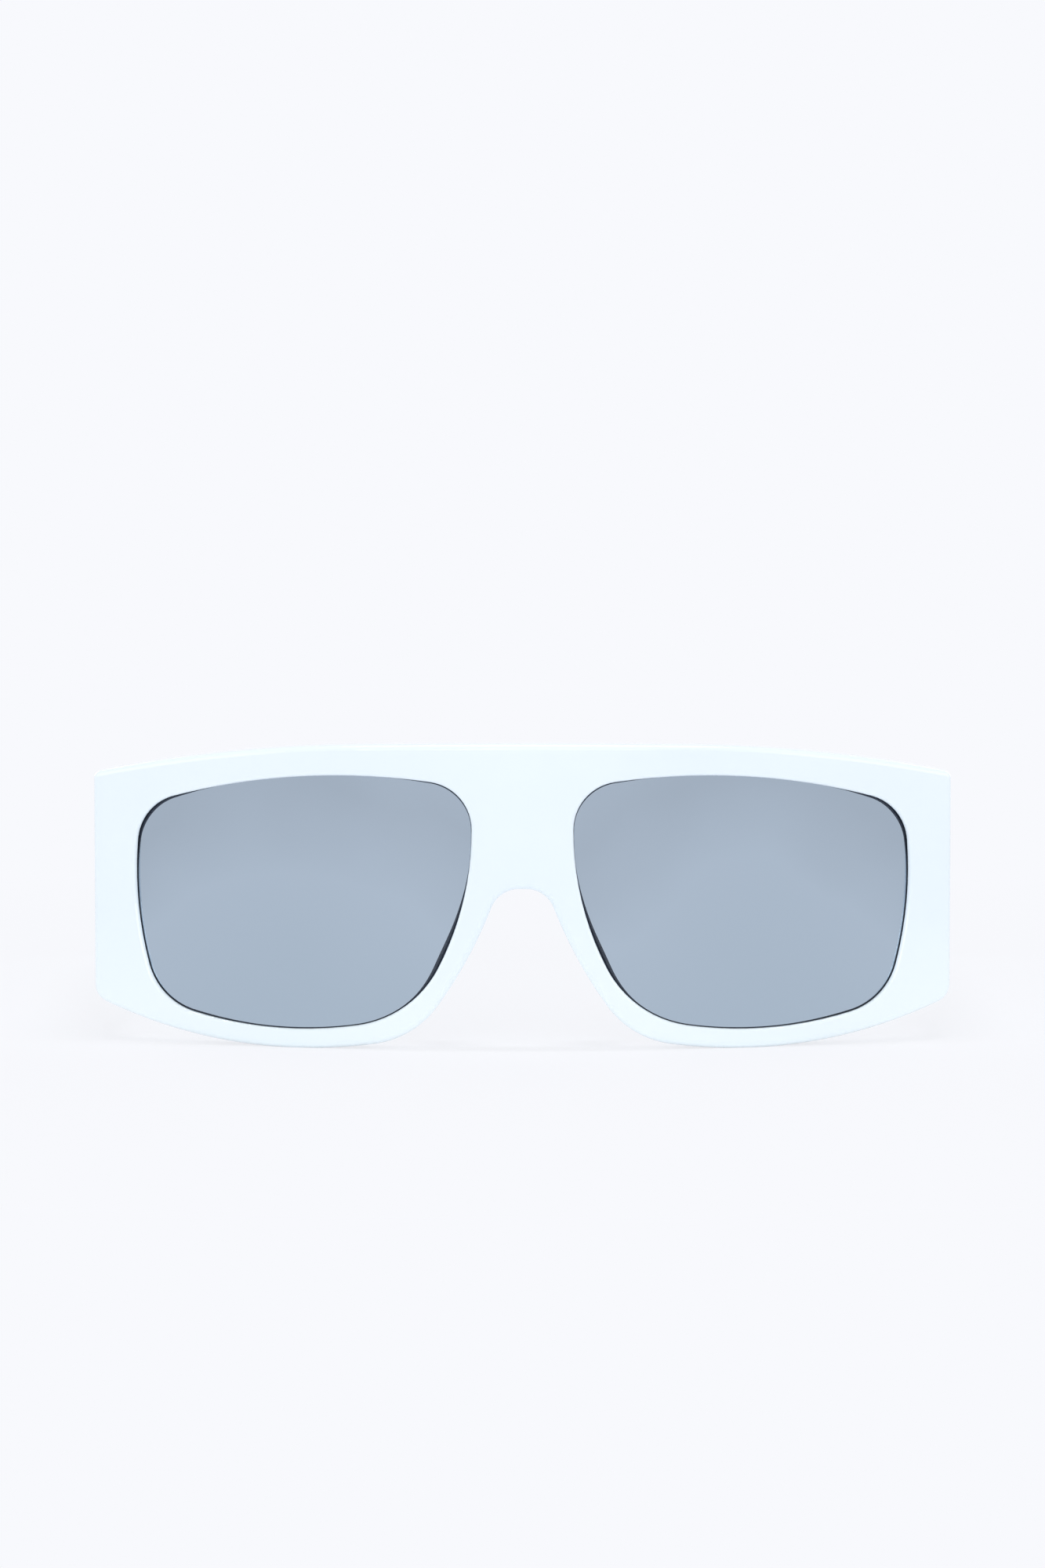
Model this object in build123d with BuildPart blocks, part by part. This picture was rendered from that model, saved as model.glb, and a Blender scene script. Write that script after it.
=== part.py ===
from build123d import *
import os
from math import asin, cos, degrees, radians, sin, sqrt, tan

# Flat top sunglasses, in millimetres. X runs across the face, the front looks
# towards -Y and Z is up from the table. The wearer's left is +X.
# The origin is on the table, in the middle of the width and of the depth.

# Lens openings and the rim around them
lens_width = 57.1
lens_height = 43.0
bridge_width = 17.1
rim_end_width = 7.45
rim_top_width = 5.5
rim_low_width = 3.2

# Front
front_thickness = 5.5
front_radius = 170.0
edge_round = 0.95
opening_round = 0.5
rest_length = 8.0

# Brow line, nose notch and corners of the outline
brow_flat_drop = 0.3
brow_end_drop = 5.9
brow_corner_round = 1.3
rim_low_radius = 87.0
end_corner_round = 3.2
nose_side_bow = 1.4
nose_foot_round = 16.0
nose_top_round = 5.0
brow_flat_share = 0.383
rim_low_share = 0.512
nose_foot_share = 0.173
nose_top_width_share = 0.476
nose_top_height_share = 0.527

# Corners of a lens opening, as shares of its width and height from its middle,
# from the nose side of the top round to the nose side of the foot
lens_corner_shares = [(-0.491, 0.452), (0.482, 0.367), (0.430, -0.402), (-0.312, -0.437)]
lens_corner_rounds = [8.0, 8.6, 11.0, 18.5]
lens_side_bows = [3.66, 2.27, 3.42, 4.05]

# Lenses, with a bevel all round that seats in a groove
lens_thickness = 2.0
lens_recess = 1.1
bevel_reach = 0.7
bevel_land = 0.1
groove_clearance = 0.05

# End pieces behind the front
lug_length = 2.4
temple_thickness = 4.6
lug_top_step = 1.4
lug_foot_step = 2.4
lug_wall = 0.6
butt_gap = 0.05

# Temples
temple_reach = 130.4
temple_fall_angle = 4.0
ear_bend_angle = 45.0
ear_width = 13.0
ear_bend_round = 30.0
temple_straight = 64.0
temple_bow_radius = 380.0
temple_edge_round = 1.0
sweep_start = 10.0
sweep_end = 50.0
sweep_start_round = 34.0
sweep_end_round = 60.0
shaft_width = 16.5

# Core wires
wire_width = 2.5
wire_thickness = 1.2
wire_clearance = 0.05
wire_drop = 12.4
wire_bend_round = 26.0
wire_tip_margin = 10.0

# Hinges: five knuckles, three on the front and two on the temple
knuckle_count = 5
knuckle_height = 1.6
knuckle_radius = 1.5
knuckle_gap = 0.08
swing_clearance = 0.2
hinge_drop = 5.8
flange_thickness = 0.8
flange_width = 1.7
tongue_thickness = 1.2
tongue_depth = 4.4
tongue_waist = 0.9
tongue_inset = 0.7
waist_place_share = 0.6
pocket_clearance = 0.04
leaf_thickness = 1.0
leaf_length = 12.0
leaf_tail_width = 4.6
leaf_tail_round = 1.5
leaf_inset = 0.2

# Hinge screws
pin_radius = 0.65
pin_clearance = 0.05
head_radius = 1.05
head_height = 0.9
head_sink = 0.6
slot_width = 0.35
slot_depth = 0.35
pin_tail = 0.15

# Leaf screws
leaf_screw_length = 2.7
leaf_screw_radius = 0.5
leaf_screw_head_radius = 0.95
leaf_screw_head_depth = 0.5
leaf_screw_setback = 4.8
leaf_screw_spacing = 4.0

# Nose pads
pad_height = 14.0
pad_thickness = 3.0
pad_depth = 8.0
pad_inset = 0.5
pad_flare = 2.6
pad_round = 0.3
bond_gap = 0.02
pad_place_share = 0.52
pad_section_shares = [(0, 0, 1), (0.5, 0.3, 1.03), (0.85, 0.75, 0.85), (1, 1, 0.55)]

# Spare length of every cut that runs out of a body
overrun = 1.0


def front_setback(x, radius):
    """Distance from the front's foremost line back to its bowed face."""
    return front_radius - sqrt(radius**2 - x**2)


# Places worked out from the sizes above. The joint lies behind the ends of the
# bowed front, and the temple's butt face just behind the joint
half_width = bridge_width / 2 + lens_width + rim_end_width
front_height = rim_low_width + lens_height + rim_top_width
front_depth = front_setback(half_width, front_radius - front_thickness)
depth = front_depth + lug_length + butt_gap + temple_reach
front_y = -depth / 2
joint_y = front_y + front_depth + lug_length
butt_y = joint_y + butt_gap
lens_x = bridge_width / 2 + lens_width / 2
lens_z = rim_low_width + lens_height / 2


def bowed_band(outer_radius, thickness):
    """Plan of a shell that follows the bow of the front."""
    middle = (0, front_y + front_radius)
    with BuildSketch(Plane.XY.offset(-overrun)) as band:
        with Locations(middle):
            Circle(outer_radius)
            Circle(outer_radius - thickness, mode=Mode.SUBTRACT)
    return band.sketch


def both_sides(name, piece):
    """Write the wearer's left piece and its mirror image, the right one."""
    with BuildPart() as other:
        mirror(piece.part, about=Plane.YZ)
    for side, built in (("left", piece), ("right", other)):
        built.part.label = f"{name}_{side}"
        export_step(built.part, f"parts/{name}_{side}.step")


os.makedirs("parts", exist_ok=True)

# Outline of the front, seen from ahead
rest_rise = rim_low_radius - sqrt(rim_low_radius**2 - (rest_length / 2) ** 2)
rim_low_x = bridge_width / 2 + rim_low_share * lens_width
nose_foot_x = bridge_width / 2 + nose_foot_share * lens_width


def rim_foot_z(x):
    """Height of the arc under a rim at a distance x from the middle."""
    return rim_low_radius - rest_rise - sqrt(rim_low_radius**2 - (x - rim_low_x) ** 2)


brow_middle = (0, front_height)
brow_turn = (brow_flat_share * half_width, front_height - brow_flat_drop)
brow_end = (half_width, front_height - brow_end_drop)
end_foot = (half_width, rim_foot_z(half_width))
rim_low = (rim_low_x, -rest_rise)
nose_foot = (nose_foot_x, rim_foot_z(nose_foot_x))
nose_top = (nose_top_width_share * bridge_width / 2, nose_top_height_share * front_height)
nose_middle = (0, nose_top_height_share * front_height)

with BuildSketch(Plane.XZ) as outline:
    with BuildLine():
        brow = TangentArc(brow_middle, brow_turn, tangent=(1, 0))
        TangentArc(brow_turn, brow_end, tangent=brow % 1)
        Line(brow_end, end_foot)
        ThreePointArc(end_foot, rim_low, nose_foot)
        SagittaArc(nose_foot, nose_top, nose_side_bow)
        Line(nose_top, nose_middle)
        Line(nose_middle, brow_middle)
    make_face()
    outline_rounds = [
        (brow_end, brow_corner_round),
        (end_foot, end_corner_round),
        (nose_foot, nose_foot_round),
        (nose_top, nose_top_round),
    ]
    for corner, corner_round in outline_rounds:
        fillet(outline.vertices().sort_by_distance(corner)[0], corner_round)
    mirror(about=Plane.YZ)

# Outline of the left lens opening, seen from ahead: where four discs overlap.
# Each disc's edge is one bowed side, and the corners between them are rounded
opening_corners = [Vector(lens_x + sx * lens_width, lens_z + sz * lens_height) for sx, sz in lens_corner_shares]


def opening_form(grow):
    """The opening's outline, moved outwards by some growth."""
    with BuildSketch(Plane.XZ) as form:
        for index, bow in enumerate(lens_side_bows):
            start, end = opening_corners[index], opening_corners[(index + 1) % len(opening_corners)]
            chord = end - start
            side_radius = (chord.length**2 / 4 + bow**2) / (2 * bow)
            inward = Vector(chord.Y, -chord.X).normalized()
            with Locations((start + end) / 2 + inward * (side_radius - bow)):
                Circle(side_radius + grow, mode=Mode.ADD if index == 0 else Mode.INTERSECT)
        for corner, corner_round in zip(opening_corners, lens_corner_rounds):
            fillet(form.vertices().sort_by_distance(corner)[0], corner_round + grow)
    return form.sketch


# Places behind the front, from which the end pieces, hinges and temples are set
lug_top = front_height - brow_end_drop - lug_top_step
lug_foot = rim_foot_z(half_width) + lug_foot_step
temple_x = half_width - temple_thickness
lug_x = half_width - rim_end_width + lug_wall
lug_root_y = front_y + front_setback(half_width, front_radius) + edge_round
hinge_x = temple_x - swing_clearance - knuckle_radius
hinge_z = lug_top - hinge_drop
stack_height = knuckle_count * knuckle_height
stack_foot = hinge_z - stack_height / 2
flange_x = (lug_x + temple_x) / 2
flange_y = joint_y - knuckle_radius - swing_clearance
reach_through = front_depth + 2 * overrun

# Lens with a bevel all round. With some growth the same form is the space
# that the lens and its running clearance take out of the rim
bevel_length = (lens_thickness - bevel_land) / 2


def lens_blank(grow):
    """Curved plate of the opening's outline, taken out to the bevel's tip."""
    with BuildPart() as blank:
        with Locations((0, front_y - overrun, 0)):
            add(extrude(opening_form(bevel_reach + grow), -reach_through, mode=Mode.PRIVATE))
        band = bowed_band(front_radius - lens_recess + grow, lens_thickness + 2 * grow)
        extrude(band, amount=front_height + 2 * overrun, mode=Mode.INTERSECT)
        chamfer(blank.edges().filter_by(Axis.Y, reverse=True), bevel_length)
    return blank


# Anchor of the front hinge: a tongue with a waist that the end piece grips
with BuildSketch(Plane.YZ.offset(flange_x)) as tongue_side:
    with Locations((flange_y, hinge_z)):
        Rectangle(tongue_depth, stack_height - 2 * tongue_inset, align=(Align.MAX, Align.CENTER))
    with Locations((flange_y - waist_place_share * tongue_depth, hinge_z)):
        with GridLocations(0, stack_height - 2 * tongue_inset, 1, 2):
            Circle(tongue_waist, mode=Mode.SUBTRACT)


def hinge_pocket():
    """Space in the end piece for the flange and the tongue."""
    grown = 2 * pocket_clearance
    with BuildPart() as pocket:
        with BuildSketch(Plane.XZ.offset(-flange_y - overrun)):
            with Locations((flange_x, hinge_z)):
                Rectangle(flange_width + grown, stack_height + grown)
        extrude(amount=flange_thickness + overrun)
        outline_grown = offset(tongue_side.sketch, pocket_clearance, mode=Mode.PRIVATE)
        extrude(outline_grown, amount=tongue_thickness / 2 + pocket_clearance, both=True)
    return pocket.part


# Front: the outline pushed back and cut to the bow, its edges rounded, then
# the openings with their grooves, then the end pieces that reach back
with BuildPart() as front_frame:
    with Locations((0, front_y - overrun, 0)):
        add(extrude(outline.sketch, amount=-reach_through, mode=Mode.PRIVATE))
    extrude(bowed_band(front_radius, front_thickness), amount=front_height + 2 * overrun, mode=Mode.INTERSECT)
    bowed_faces = front_frame.faces().filter_by(GeomType.CYLINDER).sort_by(SortBy.AREA)[-2:]
    fillet([edge for face in bowed_faces for edge in face.outer_wire().edges()], edge_round)
    with BuildSketch(Plane.XY):
        Rectangle(2 * (half_width + overrun), depth)
    extrude(amount=-overrun, mode=Mode.SUBTRACT)
    opening_tool = Pos(0, front_y - overrun, 0) * extrude(opening_form(0), -reach_through, mode=Mode.PRIVATE)
    add([opening_tool, opening_tool.mirror(Plane.YZ)], mode=Mode.SUBTRACT)
    bowed_faces = front_frame.faces().filter_by(GeomType.CYLINDER).sort_by(SortBy.AREA)[-2:]
    fillet([edge for face in bowed_faces for wire in face.inner_wires() for edge in wire.edges()], opening_round)
    groove_tool = lens_blank(groove_clearance).part
    add([groove_tool, groove_tool.mirror(Plane.YZ)], mode=Mode.SUBTRACT)
    lug_plane = Plane.XZ.offset(-lug_root_y)
    for lug_width, lug_end_y in ((half_width - lug_x, flange_y), (temple_thickness, joint_y)):
        with BuildSketch(lug_plane):
            for side in (-1, 1):
                with Locations((side * (half_width - lug_width / 2), (lug_top + lug_foot) / 2)):
                    RectangleRounded(lug_width, lug_top - lug_foot, temple_edge_round)
        extrude(amount=lug_root_y - lug_end_y)
    pocket_tool = hinge_pocket()
    add([pocket_tool, pocket_tool.mirror(Plane.YZ)], mode=Mode.SUBTRACT)
front_frame.part.label = "front_frame"
export_step(front_frame.part, "parts/front_frame.step")

# Lenses
both_sides("lens", lens_blank(0))

# Nose pads, bonded to the back of the rim beside the notch
foot_point, top_point = Vector(*nose_foot), Vector(*nose_top)
chord_up = (top_point - foot_point).normalized()
away = Vector(chord_up.Y, -chord_up.X)
pad_middle = foot_point + (top_point - foot_point) * pad_place_share
pad_middle += away * (pad_inset + pad_thickness / 2 - nose_side_bow)
pad_root_y = front_y + front_setback(pad_middle.X, front_radius - front_thickness)
pad_plane = Plane(
    origin=(pad_middle.X, pad_root_y - overrun, pad_middle.Y), x_dir=(away.X, 0, away.Y), z_dir=(0, -1, 0)
)
with BuildPart() as nose_pad:
    for depth_share, flare_share, size_share in pad_section_shares:
        with BuildSketch(pad_plane.offset(-depth_share * (pad_depth + overrun))):
            with Locations((flare_share * pad_flare, 0)):
                Ellipse(size_share * pad_thickness / 2, size_share * pad_height / 2)
    loft()
    fillet(nose_pad.faces().sort_by(Axis.Y)[-1].edges(), pad_round)
    with BuildSketch(Plane.XY.offset(-overrun)):
        with Locations((0, front_y + front_radius)):
            Circle(front_radius - front_thickness - bond_gap)
    extrude(amount=front_height + 2 * overrun, mode=Mode.INTERSECT)
both_sides("nose_pad", nose_pad)


# Side of a temple, from the butt face back to the tip behind the ear. The ear
# part's upper and lower lines touch the round tip, which stands on the table
fall_rate = tan(radians(temple_fall_angle))
ear_rate = tan(radians(ear_bend_angle))
tip_radius = ear_width / 2
tip_middle = Vector(butt_y + temple_reach - tip_radius, tip_radius)
ear_down = Vector(cos(radians(ear_bend_angle)), -sin(radians(ear_bend_angle)))
ear_up = Vector(-ear_down.Y, ear_down.X)
tip_upper = tip_middle + ear_up * tip_radius
tip_lower = tip_middle - ear_up * tip_radius


def top_line_z(y):
    """Height of the falling top line of a temple."""
    return lug_top - (y - butt_y) * fall_rate


def ear_corner(touch, drop):
    """Where an ear line through a tangent point meets the line below the top line."""
    y = (touch.Y + touch.X * ear_rate - lug_top + drop - butt_y * fall_rate) / (ear_rate - fall_rate)
    return Vector(y, top_line_z(y) - drop)


upper_corner = ear_corner(tip_upper, 0)
lower_corner = ear_corner(tip_lower, ear_width / cos(radians(temple_fall_angle)))
shaft_corner = Vector(butt_y + sweep_end, top_line_z(butt_y + sweep_end) - shaft_width)
cheek_corner = Vector(butt_y + sweep_start, lug_foot)
temple_inner_reach = half_width - temple_thickness - temple_bow_radius
temple_inner_x = temple_inner_reach + sqrt(temple_bow_radius**2 - (temple_reach - temple_straight) ** 2) - overrun

with BuildSketch(Plane.YZ.offset(temple_inner_x)) as temple_side:
    with BuildLine():
        Polyline((butt_y, lug_top), upper_corner, tip_upper)
        ThreePointArc(tip_upper, tip_middle + ear_down * tip_radius, tip_lower)
        Polyline(tip_lower, lower_corner, shaft_corner, cheek_corner, (butt_y, lug_foot), (butt_y, lug_top))
    make_face()
    side_rounds = [
        (upper_corner, ear_bend_round + tip_radius),
        (lower_corner, ear_bend_round - tip_radius),
        (shaft_corner, sweep_end_round),
        (cheek_corner, sweep_start_round),
    ]
    for corner, corner_round in side_rounds:
        fillet(temple_side.vertices().sort_by_distance(corner)[0], corner_round)


def temple_plan(inset, thickness):
    """Plan of a layer of the temple, straight at first and then bowed inwards."""
    outer_x = half_width - inset
    bend_y = butt_y + temple_straight
    bow_middle = (outer_x - temple_bow_radius, bend_y)
    outer_radius = temple_bow_radius
    inner_radius = temple_bow_radius - thickness
    bow_angle = degrees(asin((temple_reach - temple_straight + overrun) / inner_radius))
    with BuildSketch(Plane.XY.offset(-overrun)) as plan:
        with BuildLine():
            outer_bow = CenterArc(bow_middle, outer_radius, 0, bow_angle)
            inner_bow = CenterArc(bow_middle, inner_radius, 0, bow_angle)
            Polyline(outer_bow @ 0, (outer_x, butt_y), (outer_x - thickness, butt_y), inner_bow @ 0)
            Line(outer_bow @ 1, inner_bow @ 1)
        make_face()
    return plan.sketch


# Core wire, along the middle of the temple's thickness
with BuildSketch(Plane.YZ.offset(temple_inner_x)) as wire_side:
    with BuildLine():
        wire_end = tip_middle - ear_down * wire_tip_margin
        FilletPolyline((butt_y, lug_top - wire_drop), (upper_corner + lower_corner) / 2, wire_end,
                       radius=wire_bend_round)
    trace(line_width=wire_width)


def core_wire_form(grow):
    """The wire, or with some growth the slot that it lies in."""
    side = wire_side.sketch if grow == 0 else offset(wire_side.sketch, grow, mode=Mode.PRIVATE)
    with BuildPart() as form:
        extrude(side, amount=half_width - temple_inner_x)
        plan = temple_plan(temple_thickness / 2 - wire_thickness / 2 - grow, wire_thickness + 2 * grow)
        extrude(plan, amount=front_height, mode=Mode.INTERSECT)
    return form


both_sides("core_wire", core_wire_form(0))

# Leaf of the temple hinge, seen from inboard
leaf_half, tail_half = stack_height / 2 - leaf_inset, leaf_tail_width / 2
with BuildSketch(Plane.YZ.offset(temple_x)) as leaf_side:
    with BuildLine():
        Polyline(
            (butt_y, hinge_z - leaf_half),
            (butt_y + knuckle_radius, hinge_z - leaf_half),
            (butt_y + leaf_screw_setback, hinge_z - tail_half),
            (butt_y + leaf_length, hinge_z - tail_half),
            (butt_y + leaf_length, hinge_z + tail_half),
            (butt_y + leaf_screw_setback, hinge_z + tail_half),
            (butt_y + knuckle_radius, hinge_z + leaf_half),
            (butt_y, hinge_z + leaf_half),
            close=True,
        )
    make_face()
    fillet(leaf_side.vertices().group_by(Axis.X)[-1], leaf_tail_round)


def leaf_screws_form(grow):
    """Two countersunk screws from inboard, or with some growth their holes."""
    with BuildPart() as screws:
        for index in range(2):
            screw_y = butt_y + leaf_screw_setback + index * leaf_screw_spacing
            with BuildSketch(Plane.XY.offset(hinge_z)):
                with BuildLine():
                    Polyline(
                        (temple_x, screw_y),
                        (temple_x, screw_y + leaf_screw_head_radius + grow),
                        (temple_x + leaf_screw_head_depth, screw_y + leaf_screw_radius + grow),
                        (temple_x + leaf_screw_length + grow, screw_y + leaf_screw_radius + grow),
                        (temple_x + leaf_screw_length + grow, screw_y),
                        close=True,
                    )
                make_face()
            revolve(axis=Axis((temple_x, screw_y, hinge_z), (1, 0, 0)))
    return screws


# Temples
with BuildPart() as temple:
    extrude(temple_side.sketch, amount=half_width - temple_inner_x + overrun)
    extrude(temple_plan(0, temple_thickness), amount=front_height, mode=Mode.INTERSECT)
    long_edges = temple.edges().filter_by(Axis.X, reverse=True).group_by(Axis.Y)[1:]
    fillet([edge for group in long_edges for edge in group], temple_edge_round)
    extrude(offset(leaf_side.sketch, pocket_clearance, mode=Mode.PRIVATE), leaf_thickness, mode=Mode.SUBTRACT)
    add(leaf_screws_form(pocket_clearance).part, mode=Mode.SUBTRACT)
    add(core_wire_form(wire_clearance).part, mode=Mode.SUBTRACT)
both_sides("temple", temple)

# Front hinges: flange and tongue, and the knuckles at the first, third and
# fifth levels. The top knuckle takes the head of the screw
stack_top = stack_foot + stack_height


def knuckle(level, neck_from, neck_to):
    """One knuckle with its neck, a rectangle between two corners in plan."""
    with BuildSketch(Plane.XY.offset(stack_foot + level * knuckle_height + knuckle_gap / 2)) as plan:
        with Locations((hinge_x, joint_y)):
            Circle(knuckle_radius)
        with Locations(neck_from):
            Rectangle(neck_to[0] - neck_from[0], neck_to[1] - neck_from[1], align=Align.MIN)
    extrude(plan.sketch, amount=knuckle_height - knuckle_gap)


with BuildPart() as front_hinge:
    with BuildSketch(Plane.XZ.offset(-flange_y)):
        with Locations((flange_x, hinge_z)):
            Rectangle(flange_width, stack_height)
    extrude(amount=flange_thickness)
    extrude(tongue_side.sketch, amount=tongue_thickness / 2, both=True)
    for level in range(0, knuckle_count, 2):
        knuckle(level, (flange_x - flange_width / 2, flange_y), (flange_x + flange_width / 2, joint_y))
    with BuildSketch(Plane.XY.offset(stack_foot)):
        with Locations((hinge_x, joint_y)):
            Circle(pin_radius + pin_clearance)
    extrude(amount=stack_height, mode=Mode.SUBTRACT)
    with BuildSketch(Plane.XY.offset(stack_top)):
        with Locations((hinge_x, joint_y)):
            Circle(head_radius + pin_clearance)
    extrude(amount=-head_sink, mode=Mode.SUBTRACT)
both_sides("front_hinge", front_hinge)

# Temple hinges: the leaf, and the knuckles at the second and fourth levels
with BuildPart() as temple_hinge:
    extrude(leaf_side.sketch, amount=leaf_thickness)
    for level in range(1, knuckle_count, 2):
        knuckle(level, (hinge_x, butt_y), (temple_x + leaf_thickness, butt_y + knuckle_radius))
    with BuildSketch(Plane.XY.offset(stack_foot)):
        with Locations((hinge_x, joint_y)):
            Circle(pin_radius + pin_clearance)
    extrude(amount=stack_height, mode=Mode.SUBTRACT)
    add(leaf_screws_form(pocket_clearance).part, mode=Mode.SUBTRACT)
both_sides("temple_hinge", temple_hinge)

# Leaf screws, with a slot across each head
with BuildPart() as leaf_screws:
    add(leaf_screws_form(0).part)
    with BuildSketch(Plane.YZ.offset(temple_x)):
        for index in range(2):
            with Locations((butt_y + leaf_screw_setback + index * leaf_screw_spacing, hinge_z)):
                Rectangle(slot_width, 2 * leaf_screw_head_radius)
    extrude(amount=slot_depth, mode=Mode.SUBTRACT)
both_sides("temple_leaf_screws", leaf_screws)

# Hinge screws: the pin of each hinge, with a slotted head
with BuildPart() as hinge_screw:
    with BuildSketch(Plane.XY.offset(stack_foot - pin_tail)):
        with Locations((hinge_x, joint_y)):
            Circle(pin_radius)
    extrude(amount=stack_height + pin_tail)
    with BuildSketch(Plane.XY.offset(stack_top - head_sink)):
        with Locations((hinge_x, joint_y)):
            Circle(head_radius)
    extrude(amount=head_height)
    chamfer(hinge_screw.edges().sort_by(Axis.Z)[-1], slot_depth / 2)
    with BuildSketch(Plane.XY.offset(stack_top - head_sink + head_height)):
        with Locations((hinge_x, joint_y)):
            Rectangle(2 * head_radius, slot_width)
    extrude(amount=-slot_depth, mode=Mode.SUBTRACT)
both_sides("hinge_screw", hinge_screw)
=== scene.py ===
import math
import bpy
import numpy as np
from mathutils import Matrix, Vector


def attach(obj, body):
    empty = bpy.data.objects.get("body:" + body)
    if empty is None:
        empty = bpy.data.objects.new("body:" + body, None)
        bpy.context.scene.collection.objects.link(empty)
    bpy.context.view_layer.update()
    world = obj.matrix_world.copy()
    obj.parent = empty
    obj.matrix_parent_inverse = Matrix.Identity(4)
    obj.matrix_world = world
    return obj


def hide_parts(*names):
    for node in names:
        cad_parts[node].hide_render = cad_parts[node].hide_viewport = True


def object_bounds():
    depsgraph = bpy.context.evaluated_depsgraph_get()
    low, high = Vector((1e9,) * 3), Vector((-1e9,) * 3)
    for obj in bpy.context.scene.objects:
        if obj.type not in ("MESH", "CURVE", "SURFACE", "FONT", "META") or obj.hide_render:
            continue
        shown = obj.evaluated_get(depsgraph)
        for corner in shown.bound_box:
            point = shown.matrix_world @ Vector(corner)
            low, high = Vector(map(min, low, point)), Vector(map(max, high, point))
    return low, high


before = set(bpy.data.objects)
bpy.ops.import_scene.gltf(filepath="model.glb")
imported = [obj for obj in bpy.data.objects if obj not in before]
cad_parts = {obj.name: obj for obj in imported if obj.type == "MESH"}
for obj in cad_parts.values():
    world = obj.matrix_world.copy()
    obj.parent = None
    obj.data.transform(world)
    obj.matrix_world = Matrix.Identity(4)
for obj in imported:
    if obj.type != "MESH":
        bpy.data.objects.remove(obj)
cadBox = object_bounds()
frontY = cadBox[0][1]  # foremost line of the front
print("frame loaded, nodes:", len(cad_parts))


def screenColour(red, green, blue):
    # a colour as it looks on a screen, 0 to 255, turned to light values by the sRGB curve
    shade = np.array([red, green, blue]) / 255
    light = np.where(shade <= 0.04045, shade / 12.92, ((shade + 0.055) / 1.055) ** 2.4)
    return (*light.tolist(), 1.0)


def newMaterial(name):
    material = bpy.data.materials.new(name)
    material.use_nodes = True
    tree = material.node_tree
    tree.nodes.clear()
    output = tree.nodes.new("ShaderNodeOutputMaterial")
    return material, tree, output


def addNode(tree, kind, **inputs):
    node = tree.nodes.new(kind)
    for name, value in inputs.items():
        node.inputs[name.replace("_", " ")].default_value = value
    return node


def objectNoise(tree, scale, detail=3.0, stretch=(1, 1, 1)):
    # cloudy pattern fixed to the object, scale in blobs per metre
    place = tree.nodes.new("ShaderNodeTexCoord")
    mapping = addNode(tree, "ShaderNodeMapping", Scale=stretch)
    noise = addNode(tree, "ShaderNodeTexNoise", Scale=scale, Detail=detail)
    tree.links.new(place.outputs["Object"], mapping.inputs["Vector"])
    tree.links.new(mapping.outputs["Vector"], noise.inputs["Vector"])
    return noise.outputs["Fac"]


def objectAxes(tree):
    # the object's own X, Y and Z at each point, in metres
    place = tree.nodes.new("ShaderNodeTexCoord")
    split = tree.nodes.new("ShaderNodeSeparateXYZ")
    tree.links.new(place.outputs["Object"], split.inputs["Vector"])
    return split.outputs


def colourRamp(tree, source, shades):
    # shades are places on the ramp with their colours: both ends first, then any between them
    ramp = tree.nodes.new("ShaderNodeValToRGB")
    elements = ramp.color_ramp.elements
    for index, (position, colour) in enumerate(shades):
        element = elements[index] if index < 2 else elements.new(position)
        element.position = position
        element.color = screenColour(*colour)
    tree.links.new(source, ramp.inputs["Fac"])
    return ramp.outputs["Color"]


def valueRange(tree, source, low, high, fromLow=0.0, fromHigh=1.0):
    # the source's span from fromLow to fromHigh, laid over low to high and cut off outside
    ranged = tree.nodes.new("ShaderNodeMapRange")
    ends = {"From Min": fromLow, "From Max": fromHigh, "To Min": low, "To Max": high}
    for name, value in ends.items():
        ranged.inputs[name].default_value = value
    tree.links.new(source, ranged.inputs["Value"])
    return ranged.outputs["Result"]


def addMath(tree, operation, first, second=None):
    # one sum on a value, with another value or a number
    node = tree.nodes.new("ShaderNodeMath")
    node.operation = operation
    tree.links.new(first, node.inputs[0])
    if isinstance(second, float):
        node.inputs[1].default_value = second
    elif second is not None:
        tree.links.new(second, node.inputs[1])
    return node.outputs[0]


def addRoughness(tree, shader, source, finish):
    roughness = valueRange(tree, source, finish["roughLow"], finish["roughHigh"])
    tree.links.new(roughness, shader.inputs["Roughness"])


def addBump(tree, shader, source, strength, distance):
    bump = addNode(tree, "ShaderNodeBump", Strength=strength, Distance=distance)
    tree.links.new(source, bump.inputs["Height"])
    tree.links.new(bump.outputs["Normal"], shader.inputs["Normal"])


# Polished acetate: opaque pale blue all through, under a clear gloss. It is painted a little paler at
# its foot, as painted light in place of the light thrown up by the floor
plastic = dict(
    shades=((0.15, (236, 247, 255)), (0.7, (241, 251, 255)), (0.35, (238, 249, 255))),
    cloudScale=45.0, cloudShare=0.5, footPaintedLight=0.5, footHeight=0.004, fadeHeight=0.022,
    roughLow=0.12, roughHigh=0.17, waveScale=70.0, waveDetail=1.0, waveStrength=0.04,
    waveHeight=0.00002, ior=1.5, coat=0.7, coatRoughness=0.05,
)


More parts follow.
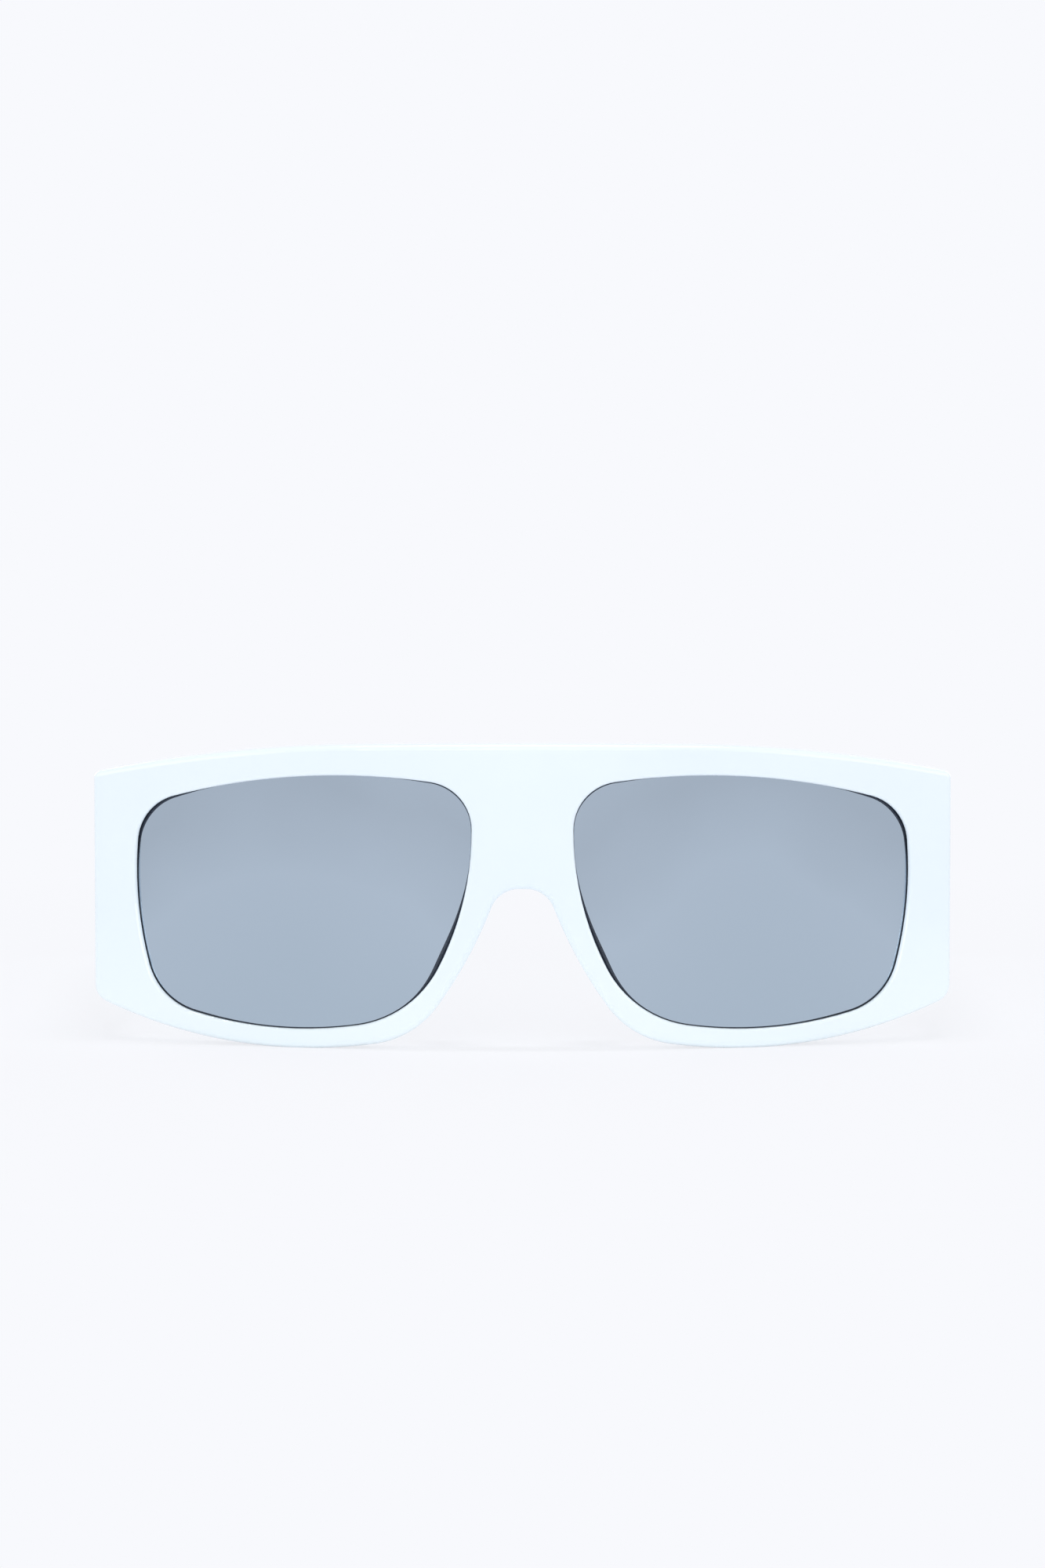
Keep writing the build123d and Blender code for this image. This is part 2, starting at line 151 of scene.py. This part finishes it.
def makePlastic():
    # shade = cloud share * cloud + foot share, which fades from the foot height to the fade height. The
    # foot share is painted light that makes the plastic paler towards its foot
    material, tree, output = newMaterial("icyPlastic")
    shader = addNode(tree, "ShaderNodeBsdfPrincipled", IOR=plastic["ior"],
                     Coat_Weight=plastic["coat"], Coat_Roughness=plastic["coatRoughness"])
    cloud = objectNoise(tree, plastic["cloudScale"])
    # painted light: the colour turns paler towards the foot
    foot = valueRange(tree, objectAxes(tree)["Z"], plastic["footPaintedLight"], 0.0,
                      plastic["footHeight"], plastic["fadeHeight"])
    shade = addMath(tree, "ADD", addMath(tree, "MULTIPLY", cloud, plastic["cloudShare"]), foot)
    tree.links.new(colourRamp(tree, shade, plastic["shades"]), shader.inputs["Base Color"])
    addRoughness(tree, shader, cloud, plastic)
    waves = objectNoise(tree, plastic["waveScale"], detail=plastic["waveDetail"])
    addBump(tree, shader, waves, plastic["waveStrength"], plastic["waveHeight"])
    tree.links.new(shader.outputs["BSDF"], output.inputs["Surface"])
    return material


# Mirror coating: silver blue, with a painted reflection: palest above the middle, darker towards the
# brow and both sides
coating = dict(
    shades=((0.1, (173, 188, 202)), (1.0, (166, 179, 192)), (0.6, (176, 190, 204))),
    lowest=0.0032, highest=0.0462, noseSide=0.0085, templeSide=0.0657, sideReflectionShare=0.3,
    cloudScale=38.0, cloudDetail=2.0, cloudShare=0.25, roughLow=0.07, roughHigh=0.12,
)


def makeCoating():
    # shade = height + side share * square of the way from the lens's middle to a side
    # + cloud share * cloud, where height goes from 0 to 1 and the other two from -1 to 1
    material, tree, output = newMaterial("mirrorCoatingWithPaintedReflection")
    shader = addNode(tree, "ShaderNodeBsdfPrincipled", Metallic=1.0)
    axes = objectAxes(tree)
    # painted reflection: the colour darkens towards the brow and, by the side share, towards both sides
    height = valueRange(tree, axes["Z"], 0.0, 1.0, coating["lowest"], coating["highest"])
    aside = valueRange(tree, addMath(tree, "ABSOLUTE", axes["X"]), -1.0, 1.0,
                       coating["noseSide"], coating["templeSide"])
    aside = addMath(tree, "MULTIPLY", addMath(tree, "POWER", aside, 2.0), coating["sideReflectionShare"])
    cloud = objectNoise(tree, coating["cloudScale"], detail=coating["cloudDetail"])
    drift = valueRange(tree, cloud, -coating["cloudShare"], coating["cloudShare"])
    shade = addMath(tree, "ADD", addMath(tree, "ADD", height, aside), drift)
    tree.links.new(colourRamp(tree, shade, coating["shades"]), shader.inputs["Base Color"])
    addRoughness(tree, shader, cloud, coating)
    tree.links.new(shader.outputs["BSDF"], output.inputs["Surface"])
    return material


# Grey tinted lens plastic, where it has no coating: the edge and the back. The edge's dark shades are
# partly its bare bevel and partly painted shade of the groove where the lens meets the rim
tint = dict(
    edge=((0.3, (42, 49, 63)), (0.7, (54, 62, 78))),
    back=((0.3, (84, 91, 98)), (0.7, (92, 99, 106))),
    cloudScale=60.0, roughness=0.08, ior=1.5, coat=0.5,
)


def makeTint(name, shades):
    material, tree, output = newMaterial(name)
    shader = addNode(tree, "ShaderNodeBsdfPrincipled", IOR=tint["ior"],
                     Roughness=tint["roughness"], Coat_Weight=tint["coat"])
    colour = colourRamp(tree, objectNoise(tree, tint["cloudScale"]), shades)
    tree.links.new(colour, shader.inputs["Base Color"])
    tree.links.new(shader.outputs["BSDF"], output.inputs["Surface"])
    return material


# Nickel silver hinges and wires, and brighter turned screws. The grain runs along Y
metal = dict(
    hinge=((0.3, (196, 194, 188)), (0.7, (214, 212, 206))),
    screw=((0.3, (205, 205, 206)), (0.7, (224, 224, 226))),
    grainScale=700.0, grainStretch=(1, 0.12, 1), grainStrength=0.3, grainHeight=0.000004,
    roughLow=0.24, roughHigh=0.38,
)


def makeMetal(name, shades):
    material, tree, output = newMaterial(name)
    shader = addNode(tree, "ShaderNodeBsdfPrincipled", Metallic=1.0)
    grain = objectNoise(tree, metal["grainScale"], stretch=metal["grainStretch"])
    tree.links.new(colourRamp(tree, grain, shades), shader.inputs["Base Color"])
    addRoughness(tree, shader, grain, metal)
    addBump(tree, shader, grain, metal["grainStrength"], metal["grainHeight"])
    tree.links.new(shader.outputs["BSDF"], output.inputs["Surface"])
    return material


icyPlastic = makePlastic()
lensFinishes = [makeCoating(), makeTint("lensEdgeWithShade", tint["edge"]), makeTint("lensBack", tint["back"])]
hingeMetal = makeMetal("nickelSilver", metal["hinge"])
screwSteel = makeMetal("turnedSteel", metal["screw"])
print("materials made")

# Lenses, in metres. The opening in the rim is where four discs overlap, with rounded corners.
# The shares run from the nose side of the top round to the nose side of the foot
lensShape = dict(
    width=0.0571, height=0.0430, bridge=0.0171, foot=0.0032,
    cornerShares=((-0.491, 0.452), (0.482, 0.367), (0.430, -0.402), (-0.312, -0.437)),
    cornerRounds=(0.0080, 0.0086, 0.0110, 0.0185), sideBows=(0.00366, 0.00227, 0.00342, 0.00405),
    frontRadius=0.170, recess=0.0011, thickness=0.0020, bevelReach=0.0007, bevelLand=0.0001,
    backStep=0.00025, ease=0.00006, stepsPerArc=28, ringsPerFace=14, creaseDegrees=20,
)
# How much of the dark edge shows inside the rim, a bare bevel widened with painted shade of the groove:
# least width, then the peaks, each with its bearing from the temple side in degrees, its extra width
# and the degrees that it spreads over
edgeShadeWidths = dict(least=-0.00004, peaks=(
    (29, 0.00054, 14), (-2, 0.00022, 28), (-46, 0.00026, 26), (-92, 0.00018, 26),
    (-126, 0.00012, 16), (-160, 0.00078, 18), (180, 0.00010, 9), (142, 0.00024, 13)))


def openingArcs(shape):
    # The eight arcs round the opening: centres, radii, first angles and angles turned through.
    # A side's radius = (half its chord squared + its bow squared) / (2 * its bow).
    # A corner's arc turns about the point where its two discs, shrunk by the rounding, cross
    middle = np.array([shape["bridge"] / 2 + shape["width"] / 2, shape["foot"] + shape["height"] / 2])
    corners = middle + np.array(shape["cornerShares"]) * [shape["width"], shape["height"]]
    bows, rounds = np.array(shape["sideBows"])[:, None], np.array(shape["cornerRounds"])[:, None]
    chords = np.roll(corners, -1, axis=0) - corners
    lengths = np.linalg.norm(chords, axis=1, keepdims=True)
    radii = (lengths**2 / 4 + bows**2) / (2 * bows)
    inward = np.stack([chords[:, 1], -chords[:, 0]], axis=1) / lengths
    discs = corners + chords / 2 + inward * (radii - bows)
    discsBefore, radiiBefore = np.roll(discs, 1, axis=0), np.roll(radii, 1, axis=0)
    apart = discs - discsBefore
    gap = np.linalg.norm(apart, axis=1, keepdims=True)
    along = ((radiiBefore - rounds) ** 2 - (radii - rounds) ** 2 + gap**2) / (2 * gap)
    aside = np.sqrt((radiiBefore - rounds) ** 2 - along**2)
    across = np.stack([-apart[:, 1], apart[:, 0]], axis=1) / gap
    foot = discsBefore + apart / gap * along
    crossings = np.stack([foot + across * aside, foot - across * aside])
    nearest = np.argmin(np.linalg.norm(crossings - corners, axis=2), axis=0)
    turns = crossings[nearest, np.arange(len(corners))]
    enter = np.arctan2(turns[:, 1] - discsBefore[:, 1], turns[:, 0] - discsBefore[:, 0])
    leave = np.arctan2(turns[:, 1] - discs[:, 1], turns[:, 0] - discs[:, 0])
    starts = np.stack([enter, leave], axis=1).ravel()
    ends = np.stack([leave, np.roll(enter, -1)], axis=1).ravel()
    sweeps = (ends - starts + math.pi) % (2 * math.pi) - math.pi
    centres = np.stack([turns, discs], axis=1).reshape(-1, 2)
    return middle, centres, np.concatenate([rounds, radii], axis=1).ravel(), starts, sweeps


def lensRings(shape, edge):
    # Rings of points from the middle of the front face, over the bevel, to the middle of the back:
    # point = opening outline + outward direction * reach, each ring with its depth behind the face
    middle, centres, radii, starts, sweeps = openingArcs(shape)
    step = np.arange(shape["stepsPerArc"]) / shape["stepsPerArc"]
    angle = (starts[:, None] + sweeps[:, None] * step).ravel()
    outward = np.stack([np.cos(angle), np.sin(angle)], axis=1)
    outline = np.repeat(centres, len(step), axis=0) + outward * np.repeat(radii, len(step))[:, None]
    # the dark edge, a bare bevel widened with painted shade, is its least width plus a soft hump at
    # each peak
    bearing = np.degrees(np.arctan2(outline[:, 1] - middle[1], outline[:, 0] - middle[0]))
    dark = np.full(len(bearing), edge["least"])
    for peak, extra, spread in edge["peaks"]:
        away = (bearing - peak + 180) % 360 - 180
        dark += extra * np.exp(-((away / spread) ** 2))
    tip, back = np.full_like(dark, shape["bevelReach"]), np.full_like(dark, -shape["backStep"])
    ease, thick = shape["ease"], shape["thickness"]
    half = (thick - shape["bevelLand"]) / 2
    reaches = np.stack([-dark - ease, -dark, tip, tip, back, back - ease])
    section = outline + outward * reaches[:, :, None]
    grow = ((np.arange(shape["ringsPerFace"]) + 1) / (shape["ringsPerFace"] + 1))[:, None, None]
    faceFront = middle + grow * (section[0] - middle)
    faceBack = middle + grow[::-1] * (section[-1] - middle)
    sectionDepth = [0, ease / 2, half, thick - half, thick - ease / 2, thick]
    depth = np.concatenate([np.zeros(len(grow)), sectionDepth, np.full(len(grow), thick)])
    return middle, np.concatenate([faceFront, section, faceBack]), depth


def meshPiece(name, points, faces, finishes, materials, body, node):
    # a smooth mesh piece from arrays of points and faces, riding on a body in place of a CAD node
    mesh = bpy.data.meshes.new(name)
    mesh.from_pydata(points.tolist(), [], [face for group in faces for face in group.tolist()])
    for material in materials:
        mesh.materials.append(material)
    mesh.polygons.foreach_set("material_index", finishes.astype(np.int32))
    mesh.polygons.foreach_set("use_smooth", np.ones(len(mesh.polygons), dtype=bool))
    mesh.set_sharp_from_angle(angle=math.radians(lensShape["creaseDegrees"]))
    mesh.update()
    piece = bpy.data.objects.new(name, mesh)
    bpy.context.collection.objects.link(piece)
    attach(piece, body)
    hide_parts(node)


def makeLens(name, side, body, node):
    # side is 1 for the wearer's left and -1 for the right. Both faces are bowed as the front is:
    # y = foremost line + front radius - root(own radius squared - x squared)
    middle, flat, depth = lensRings(lensShape, edgeShadeWidths)
    rings, around = flat.shape[:2]
    frontRadius = lensShape["frontRadius"]
    ownRadius = frontRadius - lensShape["recess"] - depth

    def bowed(x, z, radius):
        return np.stack([side * x, frontY + frontRadius - np.sqrt(radius**2 - x**2), z], axis=-1)

    shell = bowed(flat[..., 0], flat[..., 1], ownRadius[:, None]).reshape(-1, 3)
    poles = bowed(np.full(2, middle[0]), np.full(2, middle[1]), ownRadius[[0, -1]])
    # quads between neighbouring rings, then a fan of triangles to the pole of each face
    ring, place = np.meshgrid(np.arange(rings - 1) * around, np.arange(around), indexing="ij")
    after = (place + 1) % around
    quads = np.stack([ring + place, ring + after, ring + around + after, ring + around + place], axis=2)
    first, last = np.arange(around), (rings - 1) * around
    second = (first + 1) % around
    frontFan = np.stack([np.full(around, rings * around), second, first], axis=1)
    backFan = np.stack([last + first, last + second, np.full(around, rings * around + 1)], axis=1)
    faces = [group[:, ::side] for group in (quads.reshape(-1, 4), frontFan, backFan)]
    # finish of each band: 0 coating on the front, 1 bare edge darkened with painted shade of the
    # groove, 2 bare back
    face = lensShape["ringsPerFace"]
    bands = np.repeat([0, 1, 2], [face, rings - 1 - 2 * face, face])
    finishes = np.concatenate([np.repeat(bands, around), np.full(around, 0), np.full(around, 2)])
    meshPiece(name, np.concatenate([shell, poles]), faces, finishes, lensFinishes, body,
              node)


makeLens("lensLeft", 1, "front", "lens_left")
makeLens("lensRight", -1, "front", "lens_right")
print("lenses made")

# Finishes of the CAD nodes
for name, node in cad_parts.items():
    node.data.materials.clear()
    if "screw" in name:
        node.data.materials.append(screwSteel)
    elif "hinge" in name or "wire" in name:
        node.data.materials.append(hingeMetal)
    elif name.startswith("lens"):
        node.data.materials.append(lensFinishes[0])
    else:
        node.data.materials.append(icyPlastic)
print("finishes put on the nodes")

# Floor and room. The camera, gloss and glass see their plain pale colour, which lights nothing.
# All other rays meet the floor's matt paper and the room's soft light. Near the object the floor
# shows its own colour by a smaller share, so the rest is matt paper with the object's shadow
floorLook = dict(colour=(248, 249, 253), ownNear=0.8, ownFar=1.0, near=0.1, far=0.26, size=40.0)
room = dict(colour=(248, 249, 253), light=0.48)


def seenRays(tree):
    # 1 for rays from the camera, from gloss or through glass, 0 for the rest
    path = tree.nodes.new("ShaderNodeLightPath")
    seen = addMath(tree, "MAXIMUM", path.outputs["Is Camera Ray"], path.outputs["Is Glossy Ray"])
    return addMath(tree, "MAXIMUM", seen, path.outputs["Is Transmission Ray"])


def makeFloor():
    # share of own colour = a rise from ownNear to ownFar over the distance from the middle
    size = floorLook["size"]
    corners = [(-size, -size, 0), (size, -size, 0), (size, size, 0), (-size, size, 0)]
    mesh = bpy.data.meshes.new("floor")
    mesh.from_pydata(corners, [], [(0, 1, 2, 3)])
    floor = bpy.data.objects.new("floor", mesh)
    bpy.context.collection.objects.link(floor)
    material, tree, output = newMaterial("floorPaper")
    colour = screenColour(*floorLook["colour"])
    diffuse = addNode(tree, "ShaderNodeBsdfDiffuse", Color=colour)
    own = addNode(tree, "ShaderNodeEmission", Color=colour, Strength=1.0)
    mix = addNode(tree, "ShaderNodeMixShader")
    place = tree.nodes.new("ShaderNodeTexCoord")
    away = tree.nodes.new("ShaderNodeVectorMath")
    away.operation = "LENGTH"
    tree.links.new(place.outputs["Object"], away.inputs[0])
    share = valueRange(tree, away.outputs["Value"], floorLook["ownNear"], floorLook["ownFar"],
                       floorLook["near"], floorLook["far"])
    tree.links.new(addMath(tree, "MULTIPLY", seenRays(tree), share), mix.inputs["Fac"])
    tree.links.new(diffuse.outputs["BSDF"], mix.inputs[1])
    tree.links.new(own.outputs["Emission"], mix.inputs[2])
    tree.links.new(mix.outputs["Shader"], output.inputs["Surface"])
    mesh.materials.append(material)


def makeRoom():
    world = bpy.data.worlds.new("studio")
    bpy.context.scene.world = world
    world.use_nodes = True
    tree = world.node_tree
    tree.nodes.clear()
    output = tree.nodes.new("ShaderNodeOutputWorld")
    light = addNode(tree, "ShaderNodeBackground", Color=(1, 1, 1, 1), Strength=room["light"])
    backdrop = addNode(tree, "ShaderNodeBackground", Color=screenColour(*room["colour"]), Strength=1.0)
    mix = addNode(tree, "ShaderNodeMixShader")
    tree.links.new(seenRays(tree), mix.inputs["Fac"])
    tree.links.new(light.outputs["Background"], mix.inputs[1])
    tree.links.new(backdrop.outputs["Background"], mix.inputs[2])
    tree.links.new(mix.outputs["Shader"], output.inputs["Surface"])


# Soft boxes: places, what they point at, sizes in metres and power in watts
softBoxes = {
    "overhead": dict(shape="ELLIPSE", place=(0.0, -0.416, 0.775), aim=(0.0, -0.078, 0.05),
                     size=(0.56, 1.6), power=0.4),
    "strip": dict(shape="ELLIPSE", place=(0.03, -0.07, 0.9), aim=(0.03, -0.07, 0.0),
                  size=(0.56, 0.08), power=2.3),
    "front": dict(shape="RECTANGLE", place=(-0.05, -1.45, 0.26), aim=(0.0, -0.08, 0.03),
                  size=(0.9, 0.5), power=3.6),
    "left": dict(shape="RECTANGLE", place=(1.25, -0.7, 0.5), aim=(0.0, -0.05, 0.03),
                 size=(1.3, 0.9), power=3.9),
    "right": dict(shape="RECTANGLE", place=(-1.25, -0.7, 0.5), aim=(0.0, -0.05, 0.03),
                  size=(1.3, 0.9), power=3.9),
    "backLeft": dict(shape="RECTANGLE", place=(0.85, 1.0, 0.5), aim=(0.0, 0.0, 0.03),
                     size=(1.1, 0.8), power=2.6),
    "backRight": dict(shape="RECTANGLE", place=(-0.85, 1.0, 0.5), aim=(0.0, 0.0, 0.03),
                      size=(1.1, 0.8), power=2.6),
}


def pointAt(thing, target):
    # turned so that its own -Z runs to the target, as lamps and cameras look
    thing.rotation_euler = (Vector(target) - thing.location).to_track_quat("-Z", "Y").to_euler()


def makeSoftBoxes():
    for name, box in softBoxes.items():
        lamp = bpy.data.lights.new(name, "AREA")
        lamp.shape = box["shape"]
        lamp.size, lamp.size_y = box["size"]
        lamp.energy = box["power"]
        holder = bpy.data.objects.new(name, lamp)
        bpy.context.collection.objects.link(holder)
        holder.location = box["place"]
        pointAt(holder, box["aim"])


# Camera: at the photograph's viewing angle, a little above the brow
view = dict(lens=123.72, sensor=36.0, distance=0.900, height=0.112, aimHeight=0.045)


def makeCamera():
    data = bpy.data.cameras.new("camera")
    data.lens, data.sensor_width = view["lens"], view["sensor"]
    camera = bpy.data.objects.new("camera", data)
    bpy.context.collection.objects.link(camera)
    camera.location = (0, frontY - view["distance"], view["height"])
    pointAt(camera, (0, frontY, view["aimHeight"]))
    bpy.context.scene.camera = camera


makeFloor()
makeRoom()
makeSoftBoxes()
makeCamera()
bpy.context.scene.view_settings.view_transform = "Standard"
print("stage, light and camera set")
